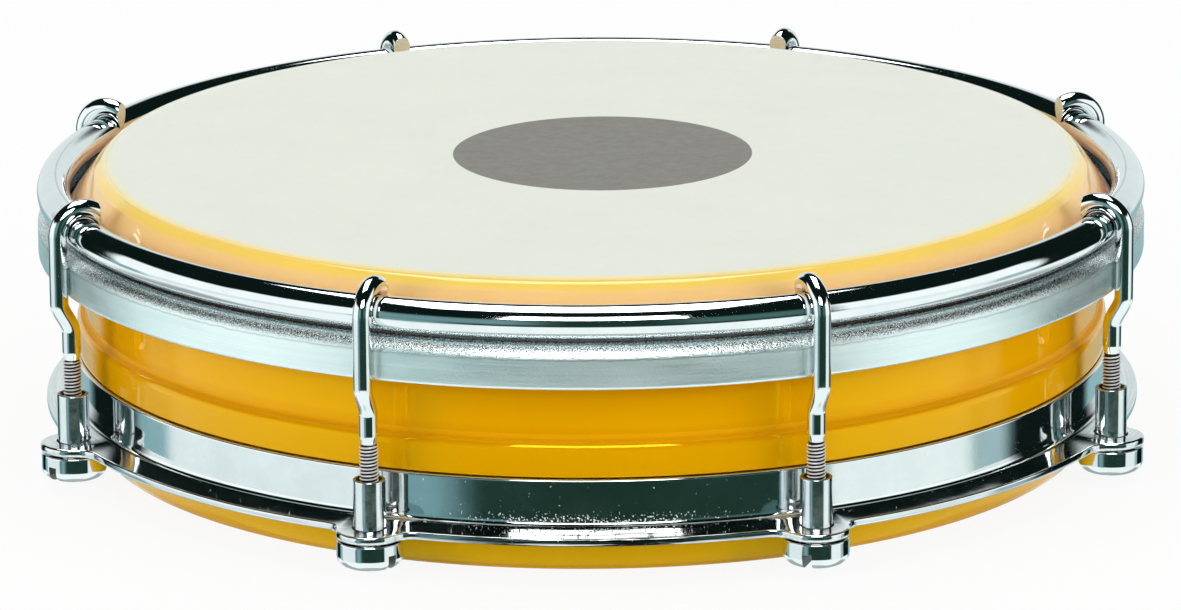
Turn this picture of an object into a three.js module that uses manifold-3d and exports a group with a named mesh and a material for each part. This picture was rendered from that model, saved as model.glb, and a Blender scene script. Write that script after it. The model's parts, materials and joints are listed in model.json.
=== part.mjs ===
import * as THREE from "three";
import { mergeVertices } from "three/addons/utils/BufferGeometryUtils.js";
import Module from "manifold-3d";

// A six-inch tamborim: one moulded shell with one film head, tuned by hooks and slotted nuts.
// Millimetres, +Z up. The origin is on the drum's axis, in the plane that the shell's rim stands on.
// A profile is a list of (radius, height) points that runs up the outside of its piece.

const wasm = await Module();
wasm.setup();

// Counts
const lugCount = 8;
const firstLugAngle = THREE.MathUtils.degToRad(-67.5);
const ringSegments = 64;
const wireSides = 8;
const boreSides = 16;

// Clearances
const fitGap = 0.3; // between pieces that rest on each other
const hookGap = 0.35; // between a hook's arch and the counterhoop inside it
const tightenTravel = 1; // how far the hoops can still be pulled down
const overrun = 1; // how far a cut or a joined end runs past its face

// Shell
const shellHeight = 40.2;
const shellRadius = 74.2;
const shellWall = 4.2;
const bearingRadius = 1.45;
const bearingInset = 2.95; // from the shell's side in to the bearing edge's crest
const bearingFall = 1.1;
const bearingDepth = 3.6; // from the crest down to the shell's straight side
const bodyInset = 0.45;
const bandProud = 1.1;
const bandBottom = 14.1;
const bandHeight = 4.5;
const bandTopRadius = 0.6;
const bandChamfer = 0.2;
const footInset = 1.05;
const footHeight = 4;
const footChamfer = 0.3;

// Head: the film and the flesh hoop that grips its edge
const filmThickness = 0.25;
const headDrop = 5.85; // from the shell's crown down to the top of the flesh hoop
const tailDepth = 2.6; // how deep the film's edge sits in the flesh hoop
const hoopHeight = 6.4;
const hoopClearance = 0.9; // from the shell's side to the flesh hoop's bore
const hoopLip = 0.6;
const lipDrop = 0.8; // how much lower the slot's inner lip ends than its outer one
const hoopShoulder = 2.3;
const hoopChamfer = 0.4;

// Counterhoop
const counterhoopWire = 4.8;
const counterhoopReach = 4.12; // from the shell's side out to the middle of the wire

// Tuning bracket
const bracketWall = 1.9;
const bracketHeight = 8.35;
const bracketFillet = 1.8;
const bracketBend = 3;
const bracketChamfer = 0.3;
const flangeWidth = 4.05;
const flangeThickness = 1.5;
const lugReach = 4.45; // from the bracket's wall out to a hook's thread
const lugWall = 2.2;
const lugFillet = 3;
const lugRootDepth = 2; // how far a lug reaches back into the flange

// Tuning hooks
const hookWire = 2.65;
const threadDiameter = 2.7;
const threadChamfer = 0.4;
const threadSpare = 0.8; // left under the thread's end when the head is at its tightest
const neckLength = 5.05;
const crankRise = 4.2;
const archSweep = THREE.MathUtils.degToRad(133);

// Tuning nuts
const nutHeadRadius = 4.65;
const nutHeadHeight = 3.7;
const nutHeadRound = 1.5;
const barrelWall = 0.6;
const barrelLength = 8.6;
const barrelChamfer = 0.25;
const slotWidth = 1.3;
const slotDepth = 2.2;
const slotFloor = 0.7;
const slotTurnShares = [0.2, 0.01, 0.33, 0.11, 0.42, 0.26, 0.14, 0.37]; // of a whole turn, one for each nut

// Shell, worked out
const shellBore = shellRadius - shellWall;
const bodyRadius = shellRadius - bodyInset;
const bandRadius = shellRadius + bandProud;
const bandTop = bandBottom + bandHeight;
const footRadius = bodyRadius - footInset;
const crown = new THREE.Vector2(shellRadius - bearingInset, shellHeight - bearingRadius);
const shoulder = new THREE.Vector2(shellRadius, shellHeight - bearingDepth);
const bearingAngle = tangentAngle(bearingRadius, shoulder);

// Head, worked out
const filmInnerRound = bearingRadius + fitGap;
const filmOuterRound = filmInnerRound + filmThickness;
const hoopTop = shellHeight - headDrop;
const hoopBottom = hoopTop - hoopHeight;
const hoopBore = shellRadius + hoopClearance;
const slotInnerRadius = hoopBore + hoopLip;
const tailInnerRadius = slotInnerRadius + fitGap;
const tailOuterRadius = tailInnerRadius + filmThickness;
const slotOuterRadius = tailOuterRadius + fitGap;
const tailBottom = hoopTop - tailDepth;
const slotBottom = tailBottom - fitGap;
const collarAngle = tangentAngle(filmOuterRound, new THREE.Vector2(tailOuterRadius, hoopTop));

// The counterhoop rests on the flesh hoop and stands clear of the sloping film.
const counterhoopRadius = counterhoopWire / 2;
const counterhoopHeight = hoopTop + fitGap + counterhoopRadius;
const counterhoopCentre = shellRadius + counterhoopReach;
const hoopRadius = counterhoopCentre + counterhoopRadius;

// Bracket, worked out
const bracketBore = bodyRadius + fitGap;
const bracketRadius = bracketBore + bracketWall;
const bracketTop = bandBottom - fitGap;
const flangeBottom = bracketTop - bracketHeight;
const flangeTop = flangeBottom + flangeThickness;
const flangeRadius = bracketRadius + flangeWidth;
const threadAxis = bracketRadius + lugReach;
const threadRadius = threadDiameter / 2;
const nutBore = threadRadius + fitGap;
const barrelRadius = nutBore + barrelWall;
const lugHole = barrelRadius + fitGap;
const lugRadius = lugHole + lugWall;

// Nuts and hooks, worked out
const nutTop = flangeBottom - fitGap;
const nutBottom = nutTop - nutHeadHeight;
const barrelTop = nutTop + barrelLength;
const nutBoreFloor = nutBottom + slotDepth + slotFloor;
const threadEnd = nutBoreFloor + tightenTravel + threadSpare;
const crankBottom = hoopBottom - crankRise;
const threadTop = crankBottom - neckLength;
const wireRadius = hookWire / 2;
const archRadius = counterhoopRadius + hookGap + wireRadius;
const shankAxis = counterhoopCentre + archRadius;

const yellow = new THREE.MeshStandardMaterial({ color: 0xf2ad05, roughness: 0.12, metalness: 0 });
const film = new THREE.MeshStandardMaterial({ color: 0xeceae0, roughness: 0.5, metalness: 0 });
const aluminium = new THREE.MeshStandardMaterial({ color: 0xa9a7a0, roughness: 0.5, metalness: 1 });
const chrome = new THREE.MeshStandardMaterial({ color: 0xdfe3e6, roughness: 0.08, metalness: 1 });

// Where a straight line down to a target leaves a round about the crown
function tangentAngle(round, target) {
  const run = target.clone().sub(crown);
  return Math.atan2(run.y, run.x) + Math.acos(round / run.length());
}

function point(radius, height) {
  return new THREE.Vector2(radius, height);
}

function arc(radius, height, round, startAngle, endAngle, steps) {
  return Array.from({ length: steps + 1 }, (_, step) => {
    const angle = THREE.MathUtils.lerp(startAngle, endAngle, step / steps);
    return point(radius + round * Math.cos(angle), height + round * Math.sin(angle));
  });
}

function revolve(profile, segments = ringSegments) {
  return new THREE.LatheGeometry(profile, segments).rotateX(Math.PI / 2);
}

function revolveRing(profile) {
  return revolve([...profile, profile[0]]);
}

function toSolid(geometry) {
  const bare = geometry.clone();
  bare.deleteAttribute("normal");
  bare.deleteAttribute("uv");
  const merged = mergeVertices(bare);
  const vertProperties = merged.getAttribute("position").array;
  const triVerts = new Uint32Array(merged.index.array);
  return new wasm.Manifold(new wasm.Mesh({ numProp: 3, vertProperties, triVerts }));
}

function toGeometry(solid) {
  const mesh = solid.getMesh();
  const geometry = new THREE.BufferGeometry();
  geometry.setAttribute("position", new THREE.BufferAttribute(mesh.vertProperties, 3));
  geometry.setIndex(new THREE.BufferAttribute(mesh.triVerts, 1));
  geometry.computeVertexNormals();
  return geometry;
}

function named(name, geometry, material) {
  const mesh = new THREE.Mesh(geometry, material);
  mesh.name = name;
  return mesh;
}

// The foot swells into the body, the band steps out over the bracket, and the crown carries the film.
function shellGeometry() {
  const footRise = footHeight - footChamfer;
  const footSwell = [1, 2, 3].map((step) => {
    const angle = (step * Math.PI) / 6;
    return point(
      footRadius + footInset * Math.sin(angle),
      footChamfer + footRise * (1 - Math.cos(angle)),
    );
  });
  return revolveRing([
    point(shellBore, 0),
    point(footRadius - footChamfer, 0),
    point(footRadius, footChamfer),
    ...footSwell,
    point(bodyRadius, bandBottom),
    point(bandRadius - bandChamfer, bandBottom),
    point(bandRadius, bandBottom + bandChamfer),
    ...arc(bandRadius - bandTopRadius, bandTop - bandTopRadius, bandTopRadius, 0, Math.PI / 2, 3),
    point(shellRadius, bandTop),
    shoulder,
    ...arc(crown.x, crown.y, bearingRadius, bearingAngle, Math.PI / 2, 4),
    point(shellBore, shellHeight - bearingFall),
  ]);
}

// The film lies over the crown, slopes down past the counterhoop and ends inside the flesh hoop.
function filmGeometry() {
  return revolve([
    point(0, crown.y + filmInnerRound),
    ...arc(crown.x, crown.y, filmInnerRound, Math.PI / 2, collarAngle, 5),
    point(tailInnerRadius, hoopTop),
    point(tailInnerRadius, tailBottom),
    point(tailOuterRadius, tailBottom),
    point(tailOuterRadius, hoopTop),
    ...arc(crown.x, crown.y, filmOuterRound, collarAngle, Math.PI / 2, 5),
    point(0, crown.y + filmOuterRound),
  ]);
}

function fleshHoopGeometry() {
  return revolveRing([
    point(hoopBore + hoopChamfer, hoopBottom),
    point(hoopRadius - hoopChamfer, hoopBottom),
    point(hoopRadius, hoopBottom + hoopChamfer),
    ...arc(hoopRadius - hoopShoulder, hoopTop - hoopShoulder, hoopShoulder, 0, Math.PI / 2, 4),
    point(slotOuterRadius, hoopTop),
    point(slotOuterRadius, slotBottom),
    point(slotInnerRadius, slotBottom),
    point(slotInnerRadius, hoopTop - lipDrop),
    point(hoopBore, hoopTop - lipDrop),
    point(hoopBore, hoopBottom + hoopChamfer),
  ]);
}

function counterhoopGeometry() {
  const section = arc(counterhoopCentre, counterhoopHeight, counterhoopRadius, 0, 2 * Math.PI, 12);
  return revolveRing(section.slice(1));
}

// One lug in plan, on the +X side: a round ear that flows into the flange's edge.
function lugOutline() {
  const filletReach = flangeRadius + lugFillet;
  const earReach = lugRadius + lugFillet;
  const filletAngle = Math.acos(
    (threadAxis ** 2 + filletReach ** 2 - earReach ** 2) / (2 * threadAxis * filletReach),
  );
  const filletX = filletReach * Math.cos(filletAngle);
  const filletY = filletReach * Math.sin(filletAngle);
  const earAngle = Math.atan2(filletY, filletX - threadAxis);
  const rootRadius = flangeRadius - lugRootDepth;
  const rootX = rootRadius * Math.cos(filletAngle);
  const rootY = rootRadius * Math.sin(filletAngle);
  return new THREE.Shape([
    point(rootX, -rootY),
    ...arc(filletX, -filletY, lugFillet, Math.PI - filletAngle, Math.PI - earAngle, 3),
    ...arc(threadAxis, 0, lugRadius, -earAngle, earAngle, 14),
    ...arc(filletX, filletY, lugFillet, Math.PI + earAngle, Math.PI + filletAngle, 3),
    point(rootX, rootY),
  ]);
}

// An L-section ring that is pulled up under the shell's band, with a drilled lug for each hook.
function bracketGeometry() {
  const edgeRadius = flangeThickness / 2;
  const ring = revolveRing([
    ...arc(flangeRadius - edgeRadius, flangeBottom + edgeRadius, edgeRadius, -Math.PI / 2, Math.PI / 2, 4),
    ...arc(
      bracketRadius + bracketFillet,
      flangeTop + bracketFillet,
      bracketFillet,
      -Math.PI / 2,
      -Math.PI,
      4,
    ),
    point(bracketRadius, bracketTop - bracketChamfer),
    point(bracketRadius - bracketChamfer, bracketTop),
    point(bracketBore, bracketTop),
    ...arc(
      bracketBore + bracketBend,
      flangeBottom + bracketBend,
      bracketBend,
      Math.PI,
      (3 * Math.PI) / 2,
      3,
    ),
  ]);
  const lug = new THREE.ExtrudeGeometry(lugOutline(), { depth: flangeThickness, bevelEnabled: false });
  lug.translate(0, 0, flangeBottom);
  const drillHeight = bracketHeight + 2 * overrun;
  const drill = new THREE.CylinderGeometry(lugHole, lugHole, drillHeight, boreSides);
  drill.rotateX(Math.PI / 2);
  drill.translate(threadAxis, 0, (flangeBottom + bracketTop) / 2);
  let bracket = toSolid(ring);
  for (let index = 0; index < lugCount; index += 1) {
    bracket = bracket.add(toSolid(lug.clone().rotateZ(lugAngle(index))));
    bracket = bracket.subtract(toSolid(drill.clone().rotateZ(lugAngle(index))));
  }
  return toGeometry(bracket);
}

function lugAngle(index) {
  return firstLugAngle + (index * 2 * Math.PI) / lugCount;
}

// The steps that the swept wire takes over each leg of a hook
const neckSteps = 1;
const crankSteps = 5;
const shankSteps = 1;
const archSteps = 9;
const hookSteps = neckSteps + crankSteps + shankSteps + archSteps;

// The centreline of a hook above its thread, on the +X side. It runs by step and not by length,
// so the straight legs take one ring of the sweep and the bends take several.
class HookLine extends THREE.Curve {
  getPoint(t, target = new THREE.Vector3()) {
    let step = t * hookSteps;
    const neckStart = threadTop - overrun;
    if (step <= neckSteps) {
      return target.set(threadAxis, 0, THREE.MathUtils.lerp(neckStart, crankBottom, step / neckSteps));
    }
    step -= neckSteps;
    if (step <= crankSteps) {
      const share = step / crankSteps;
      const shift = THREE.MathUtils.smoothstep(share, 0, 1);
      const radius = THREE.MathUtils.lerp(threadAxis, shankAxis, shift);
      return target.set(radius, 0, THREE.MathUtils.lerp(crankBottom, hoopBottom, share));
    }
    step -= crankSteps;
    if (step <= shankSteps) {
      const height = THREE.MathUtils.lerp(hoopBottom, counterhoopHeight, step / shankSteps);
      return target.set(shankAxis, 0, height);
    }
    step -= shankSteps;
    const angle = (archSweep * step) / archSteps;
    const radius = counterhoopCentre + archRadius * Math.cos(angle);
    return target.set(radius, 0, counterhoopHeight + archRadius * Math.sin(angle));
  }

  getUtoTmapping(u) {
    return u;
  }
}

function hookGeometry() {
  const section = new THREE.Shape().absarc(0, 0, wireRadius, 0, 2 * Math.PI);
  const wire = new THREE.ExtrudeGeometry(section, {
    curveSegments: wireSides / 2,
    steps: hookSteps,
    extrudePath: new HookLine(),
  });
  const thread = revolve(
    [
      point(0, threadEnd),
      point(threadRadius - threadChamfer, threadEnd),
      point(threadRadius, threadEnd + threadChamfer),
      point(threadRadius, threadTop),
      point(0, threadTop),
    ],
    boreSides,
  );
  thread.translate(threadAxis, 0, 0);
  return toGeometry(toSolid(wire).add(toSolid(thread)));
}

// A slotted head under the lug and a bored barrel up through it, about the nut's own axis
function nutGeometry() {
  const roundHeight = nutBottom + nutHeadRound;
  const body = revolve(
    [
      point(0, nutBottom),
      ...arc(nutHeadRadius - nutHeadRound, roundHeight, nutHeadRound, -Math.PI / 2, 0, 3),
      point(nutHeadRadius, nutTop),
      point(barrelRadius, nutTop),
      point(barrelRadius, barrelTop - barrelChamfer),
      point(barrelRadius - barrelChamfer, barrelTop),
      point(nutBore, barrelTop),
      point(nutBore, nutBoreFloor),
      point(0, nutBoreFloor),
    ],
    boreSides,
  );
  const slotLength = 2 * (nutHeadRadius + overrun);
  const slot = new THREE.BoxGeometry(slotLength, slotWidth, slotDepth + overrun);
  slot.translate(0, 0, nutBottom + (slotDepth - overrun) / 2);
  return toGeometry(toSolid(body).subtract(toSolid(slot)));
}

const tamborim = new THREE.Group();
tamborim.add(named("shell", shellGeometry(), yellow));
tamborim.add(named("head_membrane", filmGeometry(), film));
tamborim.add(named("flesh_hoop", fleshHoopGeometry(), aluminium));
tamborim.add(named("counterhoop", counterhoopGeometry(), chrome));
tamborim.add(named("tuning_bracket", bracketGeometry(), chrome));

const hook = hookGeometry();
const nut = nutGeometry();
for (let index = 0; index < lugCount; index += 1) {
  const station = new THREE.Group();
  station.rotation.z = lugAngle(index);
  station.add(named(`tuning_hook_${index + 1}`, hook, chrome));
  const nutMesh = named(`tuning_nut_${index + 1}`, nut, chrome);
  nutMesh.position.x = threadAxis;
  nutMesh.rotation.z = 2 * Math.PI * slotTurnShares[index % slotTurnShares.length] - station.rotation.z;
  station.add(nutMesh);
  tamborim.add(station);
}

export default tamborim;
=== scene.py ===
import json
import math

import bmesh
import bpy
from mathutils import Matrix, Vector


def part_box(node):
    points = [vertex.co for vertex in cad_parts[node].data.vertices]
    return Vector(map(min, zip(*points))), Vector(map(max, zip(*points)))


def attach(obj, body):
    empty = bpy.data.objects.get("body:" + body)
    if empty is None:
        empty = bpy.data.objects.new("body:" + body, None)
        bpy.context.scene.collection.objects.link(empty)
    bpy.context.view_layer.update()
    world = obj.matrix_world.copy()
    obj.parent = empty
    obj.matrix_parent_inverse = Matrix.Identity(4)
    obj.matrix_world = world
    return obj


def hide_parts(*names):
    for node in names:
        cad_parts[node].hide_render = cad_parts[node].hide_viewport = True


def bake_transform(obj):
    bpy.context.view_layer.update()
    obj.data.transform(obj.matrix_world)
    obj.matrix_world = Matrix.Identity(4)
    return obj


# A tamborim on a white table.
# Sizes and outlines are in millimetres and become metres when a mesh is made. The frame is the model's own.
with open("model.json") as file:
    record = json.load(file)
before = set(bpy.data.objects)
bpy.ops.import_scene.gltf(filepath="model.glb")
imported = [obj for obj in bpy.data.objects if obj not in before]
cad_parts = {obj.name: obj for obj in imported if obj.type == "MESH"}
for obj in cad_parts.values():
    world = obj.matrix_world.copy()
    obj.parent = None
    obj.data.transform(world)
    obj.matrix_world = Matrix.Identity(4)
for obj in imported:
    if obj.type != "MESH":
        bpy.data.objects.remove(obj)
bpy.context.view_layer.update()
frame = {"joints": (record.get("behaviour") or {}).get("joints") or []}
MM = 0.001


def box_mm(node):
    """The lowest and highest corners of a node in millimetres."""
    low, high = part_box(node)
    return low / MM, high / MM


shell_high = box_mm("shell")[1]
film_low, film_high = box_mm("head_membrane")
hoop_low, hoop_high = box_mm("flesh_hoop")
wire_low, wire_high = box_mm("counterhoop")
bracket_low, bracket_high = box_mm("tuning_bracket")
hook_low = box_mm("tuning_hook_1")[0]
nut_low, nut_high = box_mm("tuning_nut_1")
nut_places = [Vector(joint["pos_m"]) / MM for joint in frame["joints"] if joint["type"] == "hinge"]
lug_angles = [math.atan2(place.y, place.x) for place in nut_places]

# Shell
shell_top = shell_high.z
shell_wall = 4.2
band_radius = shell_high.x
band_proud = 1.1
band_bottom = 13.95
band_root_round = 0.2
band_edge_round = 0.15
band_top = 18.45
band_round = 1.6
band_rise = 0.85
crease_top = band_top + band_rise
band_fillet = 0.5
side_radius = band_radius - band_proud
side_proud = 0.45
body_radius = side_radius - side_proud
foot_inset = 1.05
foot_radius = body_radius - foot_inset
foot_height = 4.0
foot_round = 0.3
foot_degrees = range(10, 91, 8)  # along the foot's swell
shell_bore = side_radius - shell_wall
bearing_fall = 1.1
bearing_depth = 4.1
bearing_round = 1.0
bevel_inset = Vector((0.3, 0.45))
bevel_round = 2.0
crest_inset = 0.2
crest_round = 0.6

# The shell's mottle, the heights where its painted shade and light change, and its matt crease
mottle_reach = 1.2
unshaded_height = band_top + 3.4
crease_heights = [band_top + 0.25, band_top + 0.4, crease_top + 0.3, crease_top + 0.7]

# Head
film_top = film_high.z
film_end = film_low.z
film_edge = film_high.x
film_thickness = 0.25
film_fold = Vector((71.14, film_top))
fold_round = 1.0
fold_normal = math.radians(69)
crease_drop = 1.25
film_crease = Vector((72.4, film_top - crease_drop))
crease_round = 1.2
crease_normal = math.radians(42)
tail_round = 0.3
span_radii = (69.9, 71.0, 72.0, 73.0)  # where the film's colour steps from off-white to yellow
collar_radii = (73.0, 74.8, 76.0)
change_radii = (72.3, 72.6)  # from the span's colours to the collar's
bend_radii = (70.5, 71.0)  # from the coating's grain to the glossy bend
painted_front_lead = 2.0  # how much farther in the film turns yellow at the front than at the sides; the paler sides are a painted sheen
print_radius = 21.9
print_place = (1.75, 0.5)

# Flesh hoop
hoop_top = hoop_high.z
hoop_bottom = hoop_low.z
hoop_radius = hoop_high.x
hoop_clearance = 0.9
hoop_bore = side_radius + hoop_clearance
hoop_inner_round = 0.3
hoop_outer_round = 0.45
hoop_lip = 0.6
lip_drop = 0.8
lip_round = 0.12
film_play = 0.3
shoulder_height = 1.95
shoulder_start = math.radians(11)
shoulder_root_round = 0.15
hoop_wall_top = hoop_top - shoulder_height
hoop_shade_height = hoop_bottom - 2.6  # painted shadow: the shell darkens from here up to the hoop
shade_radius = 79.0  # the counterhoop's painted shade on the shoulder ends here
shade_soft = 0.05
line_radius = 79.45
line_soft = 0.1
ragged_reach = 0.5  # of the noise in the rough line at the wall's top
rough_line = hoop_wall_top + ragged_reach / 2
rough_line_heights = [rough_line - 0.344, rough_line - 0.172, rough_line - 0.034]
shoulder_heights = [rough_line - 0.275, rough_line + 0.756]  # between which brushed metal turns sandy

# Counterhoop
wire_radius = (wire_high.z - wire_low.z) / 2
wire_height = (wire_high.z + wire_low.z) / 2
wire_centre = wire_high.x - wire_radius

# Tuning bracket
bracket_clearance = 0.3
bracket_wall = 1.9
bracket_bore = body_radius + bracket_clearance
bracket_radius = bracket_bore + bracket_wall
bracket_top = bracket_high.z
bracket_fillet = 0.8
bracket_bend = 3.0
bracket_round = 0.28
flange_bottom = bracket_low.z
flange_root_thickness = 1.8
flange_root = flange_bottom + flange_root_thickness
flange_edge_thickness = 1.15
flange_round = 0.3
flange_width = 4.05
flange_radius = bracket_radius + flange_width
thread_axis = nut_places[0].xy.length
lug_radius = 4.75
lug_fillet = 3.0
lug_hole = 2.5
lug_bevel = 0.16
grain_heights = [flange_root + rise for rise in (0.8, 1.5, 2.0, 3.2)]
front_reaches = (12, 25)  # the way round from the front over which the grains' painted glints and the wear fade
worn_heights = [flange_root, flange_root + 0.4]

# Tuning hooks
hook_radius = 1.325
arch_clearance = 0.05
arch_radius = wire_radius + hook_radius + arch_clearance
shank_axis = wire_centre + arch_radius
arch_sweep = math.radians(162)
tip_radius = 75.9
crank_drop = 0.7
crank_top = hoop_bottom - crank_drop
crank_height = 4.4
crank_bottom = crank_top - crank_height
thread_bottom = hook_low.z
thread_top = 18.95
thread_pitch = 0.5
thread_crest = 1.34
thread_root = 0.97
thread_fullness = 0.8
thread_lead = 0.4
lead_inset = 0.05
neck_radius = 1.1
neck_taper = 1.25
neck_overlap = 0.2

# Tuning nuts
nut_bottom = nut_low.z
nut_top = nut_high.z
nut_clearance = 0.3
nut_shoulder = flange_bottom - nut_clearance
nut_shoulder_round = 0.2
nut_head_radius = 4.65
nut_head_round = 1.5
barrel_radius = 2.27
barrel_round = 0.15
nut_bore = 1.4
nut_bore_mouth = 1.85
mouth_depth = 0.6
mouth_round = 0.05
mouth_root_round = 0.1
slot_width = 1.3
slot_depth = 2.2
slot_floor = 0.7
slot_bevel = 0.14
slot_turn_shares = [0.2, 0.01, 0.33, 0.11, 0.42, 0.26, 0.14, 0.37]  # of a whole turn, one for each nut

# Materials of a hook's and a nut's faces, counted from the plate at 0
cut_faces = 1
hollow_faces = 2
outer_faces = 3

# Mesh fineness
ring_segments = 320
nut_segments = 72
hole_segments = 56
counterhoop_sides = 48
wire_sides = 32
arch_steps = 44
neck_steps = 24
crank_steps = 20
shank_steps = 4
ear_steps = 16
flange_steps = 14
shoulder_steps = 12
bracket_steps = 9
fillet_steps = 8
rim_steps = 5
rows_per_turn = 8
bevel_segments = 3
bevel_limit = math.radians(40)
support = 0.12  # from a round's end to the point beside it
merge_distance = 0.002
face_margin = 0.1  # by which faces are told apart
top_margin = 0.05
overrun = 1.0  # of a cutter past what it cuts


# Mesh tools
def mesh_object(name, verts, faces):
    """An object from vertices in millimetres. Doubled ones are merged, and its faces turned outward."""
    mesh = bpy.data.meshes.new(name)
    mesh.from_pydata([Vector(vert) * MM for vert in verts], [], faces)
    shape = bmesh.new()
    shape.from_mesh(mesh)
    bmesh.ops.remove_doubles(shape, verts=shape.verts, dist=merge_distance * MM)
    bmesh.ops.recalc_face_normals(shape, faces=shape.faces)
    shape.to_mesh(mesh)
    shape.free()
    mesh.shade_smooth()
    piece = bpy.data.objects.new(name, mesh)
    bpy.context.scene.collection.objects.link(piece)
    return piece


def polar(radius, angle):
    return Vector((radius * math.cos(angle), radius * math.sin(angle)))


def arc(centre, radius, start, end, steps):
    """Points of an arc in the (radius, height) plane, from one angle to another in radians."""
    return [Vector(centre) + polar(radius, start + (end - start) * step / steps)
            for step in range(steps + 1)]


def rounded(corners, steps=6):
    """A closed outline through corners (radius, height, round), with a point beside each end of a round."""
    outline = []
    for index, corner in enumerate(corners):
        here = Vector(corner[:2])
        before = Vector(corners[index - 1][:2]) - here
        after = Vector(corners[(index + 1) % len(corners)][:2]) - here
        if len(corner) < 3:
            outline.append(here)
            continue
        half = before.angle(after) / 2
        reach = corner[2] / math.tan(half)
        start = here + before.normalized() * reach
        end = here + after.normalized() * reach
        centre = here + (before.normalized() + after.normalized()).normalized() * corner[2] / math.sin(half)
        turn = (start - centre).angle_signed(end - centre)
        outline.append(start + before.normalized() * support)
        outline += [centre + Matrix.Rotation(-turn * step / steps, 2) @ (start - centre)
                    for step in range(steps + 1)]
        outline.append(end + after.normalized() * support)
    return outline


def lathe(name, outline, segments=ring_segments, closed=True):
    """Turns an outline about the Z axis. One that isn't closed starts and ends on the axis."""
    count = len(outline)
    verts = []
    for segment in range(segments):
        for radius, height in outline:
            verts.append((*polar(radius, 2 * math.pi * segment / segments), height))
    faces = []
    for segment in range(segments):
        here = segment * count
        there = (segment + 1) % segments * count
        for step in range(count if closed else count - 1):
            after = (step + 1) % count
            faces.append((here + step, there + step, there + after, here + after))
    return mesh_object(name, verts, faces)


def joined(name, *pieces):
    """One object from several, which are used up."""
    shape = bmesh.new()
    for piece in pieces:
        shape.from_mesh(piece.data)
        bpy.data.objects.remove(piece)
    mesh = bpy.data.meshes.new(name)
    shape.to_mesh(mesh)
    shape.free()
    result = bpy.data.objects.new(name, mesh)
    bpy.context.scene.collection.objects.link(result)
    return result


def copied(piece, name, transform):
    """A copy of a piece with its new place kept in its mesh."""
    copy = bpy.data.objects.new(name, piece.data.copy())
    copy.data.transform(transform)
    bpy.context.scene.collection.objects.link(copy)
    return copy


def apply_modifiers(piece):
    graph = bpy.context.evaluated_depsgraph_get()
    mesh = bpy.data.meshes.new_from_object(piece.evaluated_get(graph))
    piece.modifiers.clear()
    piece.data = mesh


def cut(piece, cutter):
    """Cuts a piece by another, which is used up."""
    modifier = piece.modifiers.new("Cut", "BOOLEAN")
    modifier.operation = "DIFFERENCE"
    modifier.solver = "EXACT"
    modifier.object = cutter
    apply_modifiers(piece)
    bpy.data.objects.remove(cutter)


def soften(piece, width):
    """Bevels the sharp edges that a cut has left."""
    modifier = piece.modifiers.new("Soften", "BEVEL")
    modifier.width = width * MM
    modifier.segments = bevel_segments
    modifier.limit_method = "ANGLE"
    modifier.angle_limit = bevel_limit
    modifier.harden_normals = True
    apply_modifiers(piece)


# Shell
def build_shell():
    """A moulded ring: a swelling foot, a proud band over the bracket, and a bevelled bearing edge."""
    foot_rise = foot_height - foot_round
    swell = [
        (foot_radius + (body_radius - foot_radius) * math.sin(math.radians(angle)),
         foot_round + foot_rise * (1 - math.cos(math.radians(angle))))
        for angle in foot_degrees
    ]
    bevel = film_crease - bevel_inset
    crest = film_fold - Vector((crest_inset, film_top - shell_top))
    return lathe("moulded_shell", rounded([
        (shell_bore, 0, foot_round),
        (foot_radius, 0, foot_round),
        *swell,
        (body_radius, band_bottom, band_root_round),
        (band_radius, band_bottom, band_edge_round),
        (band_radius, band_top, band_round),
        (side_radius, crease_top, band_fillet),
        (side_radius, shell_top - bearing_depth, bearing_round),
        (*bevel, bevel_round),
        (*crest, crest_round),
        (shell_bore, shell_top - bearing_fall, crest_round),
    ]))


# Head
def build_film():
    """The film, from the axis over the bearing edge and down the collar into the flesh hoop, and back."""
    tail_inner = film_edge - film_thickness
    fold_inner = film_fold - polar(film_thickness, fold_normal)
    crease_inner = film_crease - polar(film_thickness, crease_normal)
    return lathe("drum_head", rounded([
        (0, film_top),
        (*film_fold, fold_round),
        (*film_crease, crease_round),
        (film_edge, hoop_top, tail_round),
        (film_edge, film_end),
        (tail_inner, film_end),
        (tail_inner, hoop_top, tail_round),
        (*crease_inner, crease_round),
        (*fold_inner, fold_round),
        (0, fold_inner.y),
    ]), closed=False)


def build_flesh_hoop():
    """A channel rolled from aluminium, with the slot that grips the film's edge."""
    slot_inner = hoop_bore + hoop_lip
    slot_outer = film_edge + film_play
    slot_bottom = film_end - film_play
    shoulder_round = (hoop_top - hoop_wall_top) / (1 - math.sin(shoulder_start))
    shoulder_centre = (hoop_radius - shoulder_round * math.cos(shoulder_start), hoop_top - shoulder_round)
    shoulder = arc(shoulder_centre, shoulder_round, shoulder_start, math.pi / 2, shoulder_steps)
    return lathe("hoop_channel", rounded([
        (hoop_bore, hoop_bottom, hoop_inner_round),
        (hoop_radius, hoop_bottom, hoop_outer_round),
        (hoop_radius, hoop_wall_top, shoulder_root_round),
        *shoulder[1:],
        (slot_outer, hoop_top, lip_round),
        (slot_outer, slot_bottom),
        (slot_inner, slot_bottom),
        (slot_inner, hoop_top - lip_drop, lip_round),
        (hoop_bore, hoop_top - lip_drop, lip_round),
    ]))


def build_counterhoop():
    section = arc((wire_centre, wire_height), wire_radius, 0, 2 * math.pi, counterhoop_sides)[:-1]
    return lathe("counterhoop_wire", section)


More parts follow.
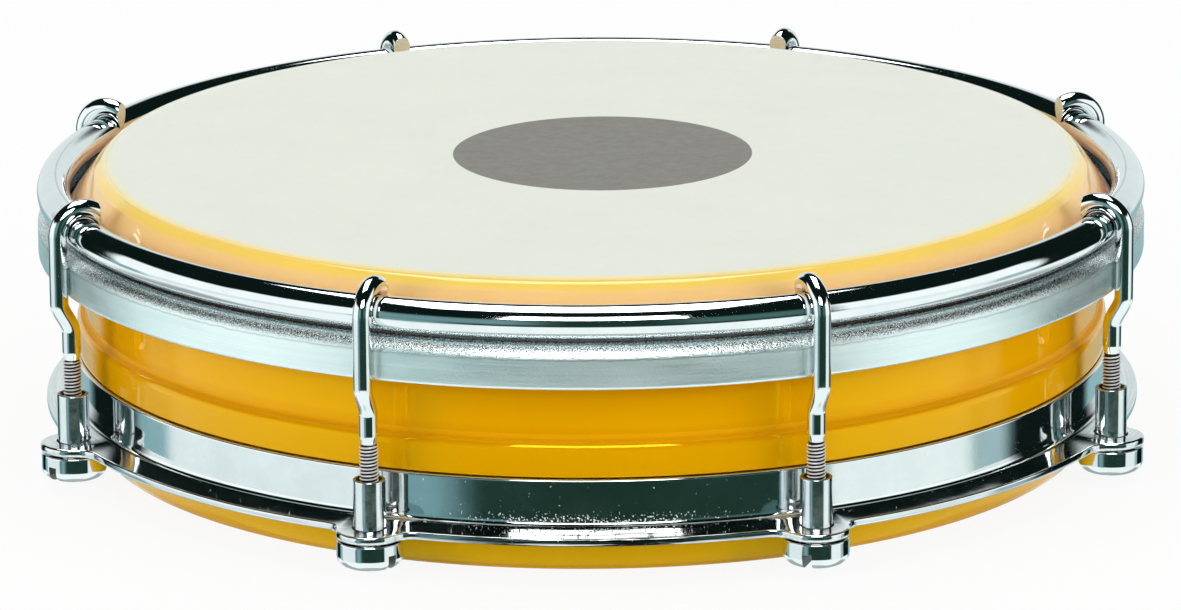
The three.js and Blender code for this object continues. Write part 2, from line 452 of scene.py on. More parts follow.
# Tuning bracket
def lug_stations():
    """Points of the flange's edge over one lug's share of the turn, each with the way into the metal."""
    fillet_reach = flange_radius + lug_fillet
    ear_reach = lug_radius + lug_fillet
    fillet_angle = math.acos(
        (thread_axis ** 2 + fillet_reach ** 2 - ear_reach ** 2) / (2 * thread_axis * fillet_reach))
    fillet_centre = polar(fillet_reach, fillet_angle)
    ear_centre = Vector((thread_axis, 0))
    ear_angle = (fillet_centre - ear_centre).angle(Vector((1, 0)))
    sector = math.pi / len(lug_angles)
    side = []
    for step in range(ear_steps + 1):
        outward = polar(1, ear_angle * step / ear_steps)
        side.append((ear_centre + outward * lug_radius, -outward))
    for step in range(1, fillet_steps + 1):
        toward = polar(1, math.pi + ear_angle + (fillet_angle - ear_angle) * step / fillet_steps)
        side.append((fillet_centre + toward * lug_fillet, toward))
    for step in range(1, flange_steps + 1):
        outward = polar(1, fillet_angle + (sector - fillet_angle) * step / flange_steps)
        side.append((outward * flange_radius, -outward))
    mirrored = [(Vector((point.x, -point.y)), Vector((inward.x, -inward.y)))
                for point, inward in side[-2:0:-1]]
    return mirrored + side


def build_bracket():
    """An L-section ring, whose flange falls a little from its root to its edge.

    The rows at the edge follow the flange's outline round the lugs, and the other rows are circles.
    """
    ring = rounded([
        (flange_radius - flange_round, flange_bottom + flange_edge_thickness),
        (bracket_radius, flange_root, bracket_fillet),
        (bracket_radius, bracket_top, bracket_round),
        (bracket_bore, bracket_top, bracket_round),
        (bracket_bore, flange_bottom, bracket_bend),
        (flange_radius, flange_bottom),
    ], bracket_steps)[1:-1]
    rim_top = flange_bottom + flange_edge_thickness
    rim = [
        Vector((flange_round + support, flange_bottom)),
        *arc((flange_round, flange_bottom + flange_round), -flange_round, math.pi / 2, 0, rim_steps),
        *arc((flange_round, rim_top - flange_round), -flange_round, 0, -math.pi / 2, rim_steps),
        Vector((flange_round + support, rim_top)),
    ]
    stations = lug_stations()
    count = len(rim) + len(ring)
    verts = []
    for lug_angle in lug_angles:
        turn = Matrix.Rotation(lug_angle, 2)
        for point, inward in stations:
            verts += [(*(turn @ (point + inward * inset)), height) for inset, height in rim]
            verts += [(*(turn @ (point.normalized() * radius)), height) for radius, height in ring]
    faces = []
    total = len(lug_angles) * len(stations)
    for station in range(total):
        here = station * count
        there = (station + 1) % total * count
        for row in range(count):
            after = (row + 1) % count
            faces.append((here + row, there + row, there + after, here + after))
    bracket = mesh_object("bracket_ring", verts, faces)
    drill_low = flange_bottom - overrun
    drill_outline = [(0, drill_low), (lug_hole, drill_low), (lug_hole, bracket_top), (0, bracket_top)]
    drill = lathe("drill", drill_outline, segments=hole_segments, closed=False)
    drills = [copied(drill, "drill", Matrix.Translation(place.xy.to_3d() * MM)) for place in nut_places]
    bpy.data.objects.remove(drill)
    cut(bracket, joined("drills", *drills))
    soften(bracket, lug_bevel)
    return bracket


# Tuning hooks, built on the +X side
def swept(name, line, radii):
    """A round wire along points of the (radius, height) plane, with a flat face at each end."""
    verts = []
    faces = []
    last = len(line) - 1
    for index, centre in enumerate(line):
        along = (line[min(index + 1, last)] - line[max(index - 1, 0)]).normalized()
        for side in range(wire_sides):
            across, beside = polar(radii[index], 2 * math.pi * side / wire_sides)
            verts.append((centre.x + along.y * across, beside, centre.y - along.x * across))
    for index in range(last):
        for side in range(wire_sides):
            after = (side + 1) % wire_sides
            here = index * wire_sides
            there = here + wire_sides
            faces.append((here + side, here + after, there + after, there + side))
    faces.append(tuple(range(wire_sides)))
    faces.append(tuple(last * wire_sides + side for side in range(wire_sides)))
    return mesh_object(name, verts, faces)


def eased(share):
    """A share that starts and ends gently."""
    return share * share * (3 - 2 * share)


def hook_wire():
    """The neck, the crank, the shank and the arch over the counterhoop."""
    line = []
    radii = []
    neck_start = thread_top - neck_overlap
    for share in [step / neck_steps for step in range(neck_steps + 1)]:
        height = neck_start + (crank_bottom - neck_start) * share
        line.append(Vector((thread_axis, height)))
        swell = min((height - neck_start) / neck_taper, 1)
        radii.append(neck_radius + (hook_radius - neck_radius) * eased(swell))
    for share in [step / crank_steps for step in range(1, crank_steps + 1)]:
        line.append(Vector((thread_axis + (shank_axis - thread_axis) * eased(share),
                            crank_bottom + (crank_top - crank_bottom) * share)))
    for share in [step / shank_steps for step in range(1, shank_steps)]:
        line.append(Vector((shank_axis, crank_top + (wire_height - crank_top) * share)))
    line += arc((wire_centre, wire_height), arch_radius, 0, arch_sweep, arch_steps)
    radii += [hook_radius] * (len(line) - len(radii))
    return swept("wire", line, radii)


def cut_tip(wire):
    """Cuts the arch's end off upright, beside the head, and marks the cut face as bare steel."""
    shape = bmesh.new()
    shape.from_mesh(wire.data)
    parts = shape.verts[:] + shape.edges[:] + shape.faces[:]
    made = bmesh.ops.bisect_plane(shape, geom=parts, clear_outer=True,
                                  plane_co=(tip_radius * MM, 0, 0), plane_no=(-1, 0, 0))
    rim = [part for part in made["geom_cut"] if isinstance(part, bmesh.types.BMEdge)]
    for face in bmesh.ops.edgeloop_fill(shape, edges=rim)["faces"]:
        face.material_index = cut_faces
        face.smooth = False
    shape.to_mesh(wire.data)
    shape.free()
    return wire


def thread_radius(height, turn_share):
    """The radius of a right-hand thread at a height and a share of a turn, with lead and run-out."""
    phase = (height - thread_bottom) / thread_pitch - turn_share
    crest = (0.5 - 0.5 * math.cos(2 * math.pi * phase)) ** thread_fullness
    crest *= min((thread_top - height) / thread_pitch, 1)
    radius = thread_root + (thread_crest - thread_root) * crest
    lead = min((height - thread_bottom) / thread_lead, 1)
    return min(radius, thread_root - lead_inset + (thread_crest - thread_root + lead_inset) * lead)


def hook_thread():
    """The threaded end. Its columns climb with the helix, so that each row lies along the thread."""
    rows = math.ceil(((thread_top - thread_bottom) / thread_pitch + 1) * rows_per_turn) + 1
    verts = []
    for side in range(wire_sides + 1):
        turn_share = side / wire_sides
        for row in range(rows):
            height = thread_bottom + thread_pitch * (row / rows_per_turn + turn_share - 1)
            height = min(max(height, thread_bottom), thread_top)
            place = polar(thread_radius(height, turn_share), 2 * math.pi * turn_share)
            verts.append((thread_axis + place.x, place.y, height))
    faces = []
    for side in range(wire_sides):
        here = side * rows
        there = here + rows
        faces += [(here + row, there + row, there + row + 1, here + row + 1) for row in range(rows - 1)]
    faces.append(tuple(side * rows for side in range(wire_sides)))
    faces.append(tuple(side * rows + rows - 1 for side in range(wire_sides)))
    thread = mesh_object("thread", verts, faces)
    groove_limit = (thread_root + thread_crest) / 2 * MM
    axis = Vector((thread_axis, 0)) * MM
    # The grooves' faces get the steel with painted shade, and the crests' faces the pale steel with a
    # painted highlight.
    for face in thread.data.polygons:
        face.material_index = hollow_faces if (face.center.xy - axis).length < groove_limit else outer_faces
    return thread


def build_hook():
    return joined("hook", cut_tip(hook_wire()), hook_thread())


# Tuning nuts, built about their own axis
def build_nut():
    """A slotted head under the lug and a bored barrel up through it."""
    floor = nut_bottom + slot_depth + slot_floor
    nut = lathe("nut", rounded([
        (0, nut_bottom),
        (nut_head_radius, nut_bottom, nut_head_round),
        (nut_head_radius, nut_shoulder, nut_shoulder_round),
        (barrel_radius, nut_shoulder, barrel_round),
        (barrel_radius, nut_top, barrel_round),
        (nut_bore_mouth, nut_top, mouth_round),
        (nut_bore, nut_top - mouth_depth, mouth_root_round),
        (nut_bore, floor),
        (0, floor),
    ]), segments=nut_segments, closed=False)
    # The bore's faces get the steel with painted shade, and the top rim and the slot's faces a greyer
    # painted shade.
    for face in nut.data.polygons:
        if face.center.z > (floor - face_margin) * MM and face.center.xy.length < nut_bore_mouth * MM:
            face.material_index = hollow_faces
        elif face.center.z > (nut_top - top_margin) * MM:
            face.material_index = cut_faces
        elif face.center.z > (nut_shoulder + face_margin) * MM:
            face.material_index = outer_faces
    shape = bmesh.new()
    size = Vector((2 * (nut_head_radius + overrun), slot_width, 2 * slot_depth)) * MM
    place = Matrix.Translation((0, 0, nut_bottom * MM))
    bmesh.ops.create_cube(shape, size=1, matrix=place @ Matrix.Diagonal(size).to_4x4())
    for face in shape.faces:
        face.material_index = cut_faces
    mesh = bpy.data.meshes.new("slot")
    shape.to_mesh(mesh)
    shape.free()
    slot = bpy.data.objects.new("slot", mesh)
    bpy.context.scene.collection.objects.link(slot)
    cut(nut, slot)
    soften(nut, slot_bevel)
    return nut


# Materials
radius_limit = 80  # the whole of ramps over a radius or over the way round


class Nodes:
    """Short calls that add nodes to a tree."""

    def __init__(self, tree):
        self.tree = tree

    def feed(self, node, sockets):
        """Sets sockets from values, or links them to the sockets given.

        A name's _ stands for a space, and i0 is a node's first socket.
        """
        for name, value in sockets.items():
            if name[0] == "i" and name[1:].isdigit():
                target = node.inputs[int(name[1:])]
            else:
                target = node.inputs[name.replace("_", " ")]
            if isinstance(value, bpy.types.NodeSocket):
                self.tree.links.new(value, target)
            else:
                target.default_value = value

    def add(self, kind, settings=None, **sockets):
        node = self.tree.nodes.new("ShaderNode" + kind)
        for name, value in (settings or {}).items():
            setattr(node, name, value)
        self.feed(node, sockets)
        return node

    def math(self, operation, first, second=0.0):
        return self.add("Math", {"operation": operation}, i0=first, i1=second).outputs[0]

    def noise(self, vector, scale, detail=3.0, roughness=0.5):
        node = self.add("TexNoise", Vector=vector, Scale=scale, Detail=detail, Roughness=roughness)
        return node.outputs["Fac"]

    def stretched(self, vector, scale):
        """The same coordinates, each multiplied by its own scale."""
        return self.add("VectorMath", {"operation": "MULTIPLY"}, i0=vector, i1=scale).outputs[0]

    def length(self, vector):
        return self.add("VectorMath", {"operation": "LENGTH"}, i0=vector).outputs["Value"]

    def ramp(self, factor, *stops):
        """A colour ramp through stops (position, colour or grey level)."""
        node = self.add("ValToRGB", Fac=factor)
        elements = node.color_ramp.elements
        while len(elements) < len(stops):
            elements.new(1.0)
        for element, (position, colour) in zip(elements, stops):
            element.position = position
            element.color = (*colour, 1) if isinstance(colour, tuple) else (colour, colour, colour, 1)
        return node.outputs["Color"]

    def ramp_mm(self, length, whole, *stops):
        """A ramp over a length in metres. Its stops stand in millimetres, none of them past a whole."""
        share = self.math("DIVIDE", length, whole * MM)
        return self.ramp(share, *((place / whole, colour) for place, colour in stops))

    def mix(self, factor, first, second):
        return self.add("Mix", {"data_type": "RGBA"}, i0=factor, i6=first, i7=second).outputs[2]

    def multiply(self, first, second):
        """One colour multiplied by another."""
        node = self.add("Mix", {"data_type": "RGBA", "blend_type": "MULTIPLY"}, i0=1.0, i6=first, i7=second)
        return node.outputs[2]

    def bump(self, height, distance, strength=1.0, normal=None):
        node = self.add("Bump", Height=height, Distance=distance * MM, Strength=strength)
        if normal:
            self.feed(node, {"Normal": normal})
        return node.outputs["Normal"]


class Finish(Nodes):
    """A material with one Principled surface."""

    def __init__(self, name, **sockets):
        self.material = bpy.data.materials.new(name)
        self.material.use_nodes = True
        super().__init__(self.material.node_tree)
        self.surface = self.tree.nodes["Principled BSDF"]
        self.place = self.add("TexCoord").outputs["Object"]
        self.feed(self.surface, sockets)

    def along(self, axis):
        """The place along the X, Y or Z axis in metres."""
        return self.add("SeparateXYZ", Vector=self.place).outputs[axis]

    def radius(self):
        """The distance from the drum's axis in metres."""
        return self.length(self.stretched(self.place, (1, 1, 0)))

    def way_round(self):
        """The way round the hoop in metres, from the front and with its seam at the back."""
        angle = self.math("ARCTAN2", self.along("X"), self.math("MULTIPLY", self.along("Y"), -1.0))
        return self.math("MULTIPLY", angle, hoop_radius * MM)

    def streaks(self, scale, detail, roughness):
        """A noise in coordinates (way round, radius, height), each multiplied by its own scale."""
        around = self.add("CombineXYZ", X=self.way_round(), Y=self.radius(), Z=self.along("Z")).outputs[0]
        return self.noise(self.stretched(around, scale), 1.0, detail, roughness)

    def wander(self, scale, detail, reach):
        """A noise that adds up to a reach in millimetres to a length in metres."""
        return self.math("MULTIPLY", self.noise(self.place, scale, detail), reach * MM)


def shell_plastic():
    """Glossy moulded plastic, faintly mottled and finely marked.

    Painted shade makes it deeper above the band and under the hoop, and painted light paler at the foot. It
    is matt in the crease over the band.
    """
    finish = Finish("shell_plastic", IOR=1.5, Specular_IOR_Level=1.0, Specular_Tint=(1.0, 0.93, 0.04, 1))
    mottle = finish.noise(finish.place, 38.0, 4.0)
    drift = finish.math("MULTIPLY", mottle, mottle_reach * MM)
    # Painted shade and light by height: paler at the foot as bounce light from the table, deeper in the
    # crease over the band, darkest in the hoop's shadow.
    painted_shade_by_height = finish.ramp_mm(
        finish.math("ADD", finish.along("Z"), drift), shell_top,
        (0.0, (0.93, 0.50, 0.0)),
        (foot_height, (0.87, 0.425, 0.0)),
        (band_bottom, (0.81, 0.385, 0.0)),
        (band_top, (0.84, 0.405, 0.0)),
        (crease_top, (0.80, 0.325, 0.0)),
        (unshaded_height, (0.90, 0.415, 0.0)),
        (hoop_shade_height, (0.86, 0.39, 0.0)),
        (hoop_bottom, (0.68, 0.22, 0.0)),
    )
    colour = finish.multiply(painted_shade_by_height, finish.ramp(mottle, (0.3, 0.95), (0.7, 1.0)))
    scuffs = finish.streaks((60, 1500, 1500), 6.0, 0.7)
    roughness = finish.ramp(scuffs, (0.4, 0.03), (0.8, 0.10))
    crease = finish.ramp_mm(finish.along("Z"), shell_top, *zip(crease_heights, (0.0, 1.0, 1.0, 0.0)))
    roughness = finish.mix(crease, roughness, (0.6, 0.6, 0.6, 1))
    skin = finish.bump(finish.noise(finish.place, 260.0, 2.0), 0.02)
    fine = finish.bump(finish.noise(finish.place, 2400.0, 2.0), 0.002, normal=skin)
    finish.feed(finish.surface, {"Base Color": colour, "Roughness": roughness, "Normal": fine})
    return finish.material


def head_film():
    """Coated film: off-white where it spans, and warm and glossy where it bends over the yellow shell."""
    finish = Finish("head_film", Subsurface_Weight=0.12, Subsurface_Scale=0.6 * MM, IOR=1.45)
    radius = finish.math("ADD", finish.radius(), finish.wander(90.0, 2.0, reach=0.5))
    # Painted sheen: the film stays pale farther out at the sides and back than at the front.
    lead = finish.math("MULTIPLY", finish.along("Y"), -painted_front_lead / film_fold.x)
    span_colours = [(0.785, 0.800, 0.718), (0.85, 0.79, 0.49), (0.97, 0.71, 0.20), (0.97, 0.66, 0.13)]
    span = finish.ramp_mm(finish.math("ADD", radius, lead), radius_limit, *zip(span_radii, span_colours))
    # The collar's peach is the yellow shell seen through the clear film, with painted shade where the
    # shell's side lies in shadow under it.
    collar_colours = [(0.98, 0.63, 0.25), (0.98, 0.57, 0.28), (0.96, 0.53, 0.30)]
    collar = finish.ramp_mm(radius, radius_limit, *zip(collar_radii, collar_colours))
    change = finish.ramp_mm(radius, radius_limit, *zip(change_radii, (0.0, 1.0)))
    warmth = finish.mix(change, span, collar)
    cloud = finish.ramp(finish.noise(finish.place, 55.0, 5.0, 0.6), (0.3, 0.965), (0.7, 1.0))
    offset = finish.add("VectorMath", {"operation": "SUBTRACT"}, i0=finish.place,
                        i1=(*(size * MM for size in print_place), 0)).outputs[0]
    reach = finish.length(finish.stretched(offset, (1, 1, 0)))
    ragged = finish.wander(2500.0, 1.0, reach=0.12)
    inside = finish.math("LESS_THAN", finish.math("ADD", reach, ragged), print_radius * MM)
    ink_wear = finish.noise(finish.place, 900.0, 4.0, 0.65)
    ink = finish.ramp(ink_wear, (0.3, (0.157, 0.146, 0.127)), (0.75, (0.205, 0.192, 0.170)))
    grain = finish.bump(finish.noise(finish.place, 1900.0, 4.0, 0.6), 0.012,
                        strength=finish.ramp_mm(radius, radius_limit, *zip(bend_radii, (1.0, 0.08))))
    patches = finish.ramp(finish.noise(finish.place, 400.0, 3.0), (0.3, 0.38), (0.7, 0.48))
    gloss = finish.ramp(finish.noise(finish.place, 700.0, 3.0), (0.4, 0.06), (0.8, 0.13))
    bend = finish.ramp_mm(radius, radius_limit, *zip(bend_radii, (0.0, 1.0)))
    finish.feed(finish.surface, {
        "Base Color": finish.mix(inside, finish.multiply(warmth, cloud), ink),
        "Roughness": finish.mix(bend, patches, gloss),
        "Normal": grain,
    })
    return finish.material


def hoop_aluminium():
    """Aluminium: a wall brushed round the hoop and, over a rough line, a sandy rolled shoulder.

    The shoulder carries painted shade and a painted reflection of the counterhoop's underside where the
    counterhoop lies over it, and just outside a thin painted dark line.
    """
    finish = Finish("hoop_aluminium", Metallic=1.0)
    lines = finish.streaks((40, 2600, 2600), 5.0, 0.6)
    blotches = finish.streaks((90, 300, 300), 4.0, 0.6)
    sand = finish.noise(finish.place, 3600.0, 3.0, 0.6)
    ragged = finish.wander(700.0, 3.0, reach=ragged_reach)
    height = finish.math("ADD", finish.along("Z"), ragged)
    shoulder = finish.ramp_mm(height, hoop_top, *zip(shoulder_heights, (0.0, 1.0)))
    line = finish.ramp_mm(height, hoop_top, *zip(rough_line_heights, (1.0, 0.62, 1.0)))
    # Painted shade and reflection under the counterhoop, and a thin painted dark line just outside it.
    under = finish.ramp_mm(
        finish.math("ADD", finish.radius(), finish.math("MULTIPLY", ragged, 0.3)), hoop_radius,
        (shade_radius - shade_soft, (0.04, 0.15, 0.21)),
        (shade_radius + shade_soft, 1.0),
        (line_radius - line_soft, 1.0),
        (line_radius, (0.20, 0.33, 0.38)),
        (line_radius + line_soft, 1.0),
    )
    tone = finish.mix(0.5, lines, blotches)
    brushed = finish.ramp(tone, (0.3, (0.74, 0.86, 0.86)), (0.7, (0.91, 0.99, 0.98)))
    rolled = finish.ramp(sand, (0.42, (0.62, 0.70, 0.70)), (0.56, (0.97, 1.0, 0.99)))
    metal = finish.mix(shoulder, brushed, finish.multiply(rolled, under))
    dull = finish.ramp(finish.mix(0.4, blotches, sand), (0.35, 0.27), (0.7, 0.42))
    sandy = finish.ramp(sand, (0.35, 0.20), (0.7, 0.34))
    relief = finish.mix(shoulder, (0.25, 0.25, 0.25, 1), (1, 1, 1, 1))
    finish.feed(finish.surface, {
        "Base Color": finish.multiply(metal, line),
        "Roughness": finish.mix(shoulder, dull, sandy),
        "Normal": finish.bump(sand, 0.11, strength=relief, normal=finish.bump(lines, 0.018)),
    })
    return finish.material


def chrome(name, smooth=0.03, dull=0.12):
    """Bright plate over drawn and pressed steel: a slight waviness, dull specks and hairline scratches.

    Its colour and its normal come with it, for what lies on the plate.
    """
    finish = Finish(name, Metallic=1.0)
    specks = finish.noise(finish.place, 1500.0, 5.0, 0.75)
    haze = finish.noise(finish.place, 140.0, 4.0, 0.6)
    colour = finish.ramp(haze, (0.3, (0.76, 0.785, 0.80)), (0.7, (0.85, 0.865, 0.87)))
    roughness = finish.ramp(finish.mix(0.5, specks, haze), (0.42, smooth), (0.72, dull))
    waves = finish.bump(finish.noise(finish.place, 170.0, 2.0), 0.03, strength=0.6)
    fine = finish.bump(finish.noise(finish.place, 900.0, 3.0), 0.003, normal=waves)
    finish.feed(finish.surface, {"Base Color": colour, "Roughness": roughness, "Normal": fine})
    return finish, colour, fine


def bracket_plate():
    """The same plate, with grains caught under it along the wall's foot and worn streaks on the flange.

    Both are strongest at the front; the grains are white as painted glints where the front light falls.
    """
    finish, plate, fine = chrome("bracket_plate")
    height = finish.math("ADD", finish.along("Z"), finish.wander(150.0, 2.0, reach=1.6))
    density = finish.ramp_mm(height, bracket_top, *zip(grain_heights, (0.1, 1.0, 0.8, 0.0)))
    front_glints_and_wear = finish.ramp_mm(finish.math("ABSOLUTE", finish.way_round()), radius_limit,
                          *zip(front_reaches, (1.0, 0.15)))
    density = finish.math("MULTIPLY", density, front_glints_and_wear)
    # Grains that are partly real and partly painted glints: white, and crowded at the front where the light
    # falls.
    grains = finish.noise(finish.place, 3400.0, 2.0, 0.5)
    crowd = finish.math("ADD", grains, finish.math("MULTIPLY", density, 0.19))
    glint_grains = finish.ramp(crowd, (0.75, 0.0), (0.77, 1.0))
    foot = finish.ramp_mm(finish.along("Z"), bracket_top, *zip(worn_heights, (1.0, 0.0)))
    streaks = finish.streaks((90, 3000, 3000), 4.0, 0.65)
    worn = finish.ramp(streaks, (0.45, (0.01, 0.012, 0.012)), (0.62, (0.85, 0.87, 0.87)))
    plate = finish.mix(finish.math("MULTIPLY", foot, front_glints_and_wear), plate, worn)
    finish.feed(finish.surface, {
        "Base Color": finish.mix(glint_grains, plate, (0.95, 1.0, 0.99, 1)),
        "Metallic": finish.math("SUBTRACT", 1.0, glint_grains),
        "Normal": finish.bump(glint_grains, 0.03, normal=fine),
    })
    return finish.material


def marked_steel(name, scale, detail, roughness, colours, dullness, relief, metal=1.0):
    """Steel in a colour of its own instead of the plate's, for a cut end and for painted shading. Level
    marks set its colour, its dullness and its relief.
    """
    finish = Finish(name, Metallic=metal)
    marks = finish.noise(finish.stretched(finish.place, scale), 1.0, detail, roughness)
    finish.feed(finish.surface, {
        "Base Color": finish.ramp(marks, *zip((0.3, 0.7), colours)),
        "Roughness": finish.ramp(marks, *zip((0.3, 0.7), dullness)),
        "Normal": finish.bump(marks, relief),
    })
    return finish.material


def cut_steel():
    """The sawn end of a hook's wire, dull under a thin warm film of lacquer."""
    colours = [(0.50, 0.50, 0.38), (0.70, 0.70, 0.56)]
    return marked_steel("cut_steel", (900, 900, 5000), 4.0, 0.6, colours, (0.4, 0.6), 0.03, metal=0.1)


def steel_with_painted_shading(name, shade, metal=1.0):
    """Steel with painted shading: a pale painted highlight on crests, painted shade in grooves, bores,
    slots and nut tops.
    """
    return marked_steel(name, (600, 600, 6000), 3.0, 0.5, (0.6 * shade, shade), (0.3, 0.5), 0.05, metal)


# The drum, put together
def dress(piece, body, node, slot, *materials):
    """Gives a piece its materials and its body, and hides the part of model.glb that it stands for."""
    for material in materials:
        piece.data.materials.append(material)
    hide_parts(node)
    if body:
        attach(piece, body)
    return piece


def build_drum():
    plate = chrome("chrome_plate")[0].material
    barrel = chrome("barrel_plate", smooth=0.10, dull=0.22)[0].material
    dress(build_shell(), "drum_body", "shell", "shell_plastic", shell_plastic())
    head = dress(build_film(), None, "head_membrane", "head_film", head_film())
    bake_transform(head)
    dress(build_flesh_hoop(), "hoop_set", "flesh_hoop", "hoop_aluminium", hoop_aluminium())
    dress(build_counterhoop(), "hoop_set", "counterhoop", "chrome_plate", plate)
    dress(build_bracket(), "drum_body", "tuning_bracket", "chrome_plate", bracket_plate())
    hook = build_hook()
    nut = build_nut()
    tip = cut_steel()
    # Steels with painted shading: shade in grooves, bores, slots and on the nuts' top rims, and a highlight
    # on the crests.
    groove = steel_with_painted_shading("groove_painted_shade", 0.05)
    slot = steel_with_painted_shading("slot_painted_shade", 0.35)
    crest = steel_with_painted_shading("crest_painted_highlight", 0.97, metal=0.3)
    for index, place in enumerate(nut_places):
        number = index + 1
        turn = Matrix.Rotation(lug_angles[index], 4, "Z")
        dress(copied(hook, f"hook_{number}", turn), "hoop_set", f"tuning_hook_{number}",
              "chrome_plate", plate, tip, groove, crest)
        slot_turn = Matrix.Rotation(2 * math.pi * slot_turn_shares[index], 4, "Z")
        stand = Matrix.Translation(place.xy.to_3d() * MM)
        dress(copied(nut, f"nut_{number}", stand @ slot_turn), f"nut_{number}", f"tuning_nut_{number}",
              "chrome_plate", plate, slot, groove, barrel)
    bpy.data.objects.remove(hook)
    bpy.data.objects.remove(nut)


# Camera, table and light
camera_height = 318.46
camera_distance = 1088.78
camera_shift = -0.147
camera_pitch = math.radians(15.4487)
camera_roll = math.radians(-0.3637)
camera_lens = 234.62
frame_shift = 0.00148
table_half = 3000
table_glow_share = 0.9
lamp_height = 900
lamp_setback = 100
lamp_size = 1100
lamp_power = 3.0
fill_aside = 1500
fill_distance = 900
fill_height = 600
fill_size = 900
fill_power = 9.5

# What glossy surfaces see. Degrees of turn run from the front to the right, and degrees of rise upward.
# A panel is its turn, its rise, the softness of its edges and its colour.
room_level = 0.6
room_dark = (0.004, 0.010, 0.009, 1)
cool_white = (1.10, 1.18, 1.18, 1)
room_panels = [
    ((-181, 181), (-95, -20), 2.5, (1.02, 1.12, 1.11, 1)),
    ((-181, -100), (-95, -32), 6, (0.40, 0.46, 0.45, 1)),
    ((100, 181), (-95, -32), 6, (0.40, 0.46, 0.45, 1)),
    ((-181, 181), (-95, -72), 4, (0.45, 0.52, 0.50, 1)),
    ((-181, -147), (-24, -12), 4, (0.30, 0.52, 0.56, 1)),
    ((142, 181), (-24, -12), 3, (0.30, 0.52, 0.56, 1)),
    ((-120, -104), (-24, -12), 3, (0.26, 0.47, 0.50, 1)),
    ((-107, -50), (-24, -12), 3, (0.84, 0.96, 0.96, 1)),
    ((52, 94), (-24, -8), 3, (0.92, 1.04, 1.01, 1)),
    ((92, 104), (-24, -8), 4, (0.40, 0.58, 0.60, 1)),
    ((-46, 47), (-21, 21), 3, (0.014, 0.040, 0.030, 1)),
    ((-46, -30), (-24, -8), 7, (0.20, 0.38, 0.41, 1)),
    ((-50, -12), (-10, 20), 8, (0.17, 0.33, 0.34, 1)),
    ((18, 48), (-10, 19), 8, (0.07, 0.16, 0.15, 1)),
    ((-114, -78), (-14, 20), 3, cool_white),
    ((-80, -46), (-14, 23), 3, cool_white),
    ((50, 104), (-10, 23), 3, cool_white),
    ((-19, 20), (24, 46), 0.5, (8.0, 8.2, 8.0, 1)),
    ((142, 181), (-12, 22), 4, (0.80, 0.88, 0.88, 1)),
    ((-181, -142), (-12, 22), 4, (0.80, 0.88, 0.88, 1)),
]

# A softbox overhead. Its edges lie to the sides and along the view by these shares of its height.
overhead_side_shares = (-0.36, 0.27)
overhead_view_shares = (-0.18, 0.86)
overhead_soft_share = 0.02
overhead_colour = (6.0, 6.3, 6.2, 1)


def place_camera():
    data = bpy.data.cameras.new("camera")
    data.lens = camera_lens
    data.shift_y = frame_shift
    camera = bpy.data.objects.new("camera", data)
    stand = Matrix.Translation(Vector((camera_shift, -camera_distance, camera_height)) * MM)
    aim = Matrix.Rotation(math.pi / 2 - camera_pitch, 4, "X") @ Matrix.Rotation(camera_roll, 4, "Z")
    camera.matrix_world = stand @ aim
    bpy.context.scene.collection.objects.link(camera)
    bpy.context.scene.camera = camera


def table_surface():
    """White paper, which the camera sees with no more than a faint shadow."""
    finish = Finish("table_white", Roughness=0.8)
    fibres = finish.noise(finish.place, 1200.0, 4.0)
    colour = finish.ramp(fibres, (0.3, 0.87), (0.7, 0.9))
    finish.feed(finish.surface, {"Base Color": colour})
    glow = finish.add("Emission", Color=(1, 1, 1, 1), Strength=1.0)
    seen = finish.math("MULTIPLY", finish.add("LightPath").outputs["Is Camera Ray"], table_glow_share)
    blend = finish.add("MixShader", i0=seen, i1=finish.surface.outputs[0], i2=glow.outputs[0])
    output = finish.tree.nodes["Material Output"]
    finish.feed(output, {"Surface": blend.outputs[0]})
    return finish.material


def place_table():
    half = table_half
    corners = [(-half, -half, 0), (half, -half, 0), (half, half, 0), (-half, half, 0)]
    table = mesh_object("table", corners, [(0, 1, 2, 3)])
    table.data.materials.append(table_surface())
    table.visible_glossy = False


def place_lamp(name, place, size, power):
    """A square soft light that faces the drum and stays out of its reflections."""
    data = bpy.data.lights.new(name, "AREA")
    data.shape = "SQUARE"
    data.size = size * MM
    data.energy = power
    lamp = bpy.data.objects.new(name, data)
    lamp.location = Vector(place) * MM
    lamp.rotation_euler = (-lamp.location).to_track_quat("-Z", "Y").to_euler()
    lamp.visible_glossy = False
    bpy.context.scene.collection.objects.link(lamp)


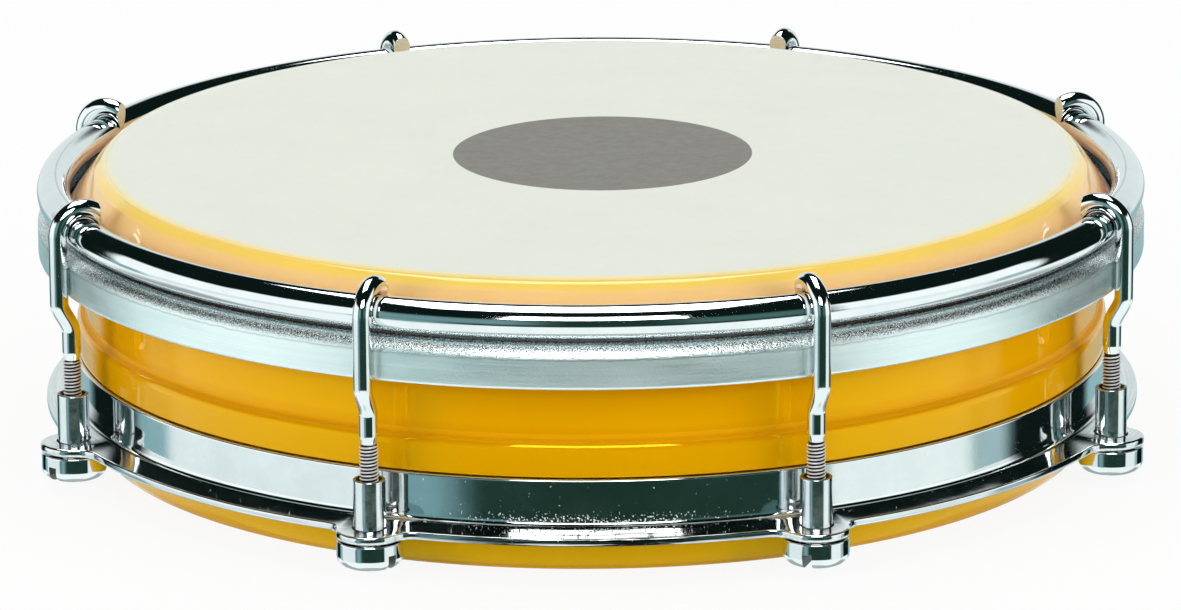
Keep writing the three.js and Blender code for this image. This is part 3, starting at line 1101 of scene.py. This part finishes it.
def room_light():
    """White to the camera, even grey to matt surfaces, and to glossy ones a studio.

    The studio is dark, with softboxes and a pale floor.
    """
    world = bpy.data.worlds.new("room")
    world.use_nodes = True
    bpy.context.scene.world = world
    nodes = Nodes(world.node_tree)
    direction = nodes.add("TexCoord").outputs["Generated"]
    parts = nodes.add("SeparateXYZ", Vector=direction).outputs
    turn = nodes.math("ARCTAN2", parts["X"], nodes.math("MULTIPLY", parts["Y"], -1.0))
    turn = nodes.math("DEGREES", turn)
    rise = nodes.math("DEGREES", nodes.math("ARCSINE", parts["Z"]))
    upward = nodes.math("MAXIMUM", parts["Z"], 0.001)
    across = nodes.math("DIVIDE", parts["X"], upward)
    along = nodes.math("DIVIDE", parts["Y"], upward)

    def inside(value, low, high, soft):
        distance = nodes.math("ABSOLUTE", nodes.math("SUBTRACT", value, (low + high) / 2))
        half = (high - low) / 2
        return nodes.add("MapRange", {"interpolation_type": "SMOOTHSTEP"}, Value=distance,
                         i1=half - soft, i2=half + soft, i3=1.0, i4=0.0).outputs[0]

    reflected = room_dark
    for (turn_low, turn_high), (rise_low, rise_high), soft, colour in room_panels:
        mask = nodes.math("MULTIPLY", inside(turn, turn_low, turn_high, soft),
                          inside(rise, rise_low, rise_high, soft))
        reflected = nodes.mix(mask, reflected, colour)
    overhead = nodes.math("MULTIPLY", inside(across, *overhead_side_shares, overhead_soft_share),
                          inside(along, *overhead_view_shares, overhead_soft_share))
    reflected = nodes.mix(overhead, reflected, overhead_colour)
    path = nodes.add("LightPath").outputs
    lit = nodes.mix(path["Is Glossy Ray"], (room_level, room_level, room_level, 1), reflected)
    seen = nodes.mix(path["Is Camera Ray"], lit, (1, 1, 1, 1))
    nodes.feed(world.node_tree.nodes["Background"], {"Color": seen, "Strength": 1.0})
    world.cycles.sampling_method = "NONE"


bpy.context.scene.view_settings.view_transform = "Standard"
place_camera()
place_table()
room_light()
place_lamp("lamp_top", (0, lamp_setback, lamp_height), lamp_size, lamp_power)
for name, side in (("lamp_left", -1), ("lamp_right", 1)):
    place_lamp(name, (side * fill_aside, -fill_distance, fill_height), fill_size, fill_power)
build_drum()
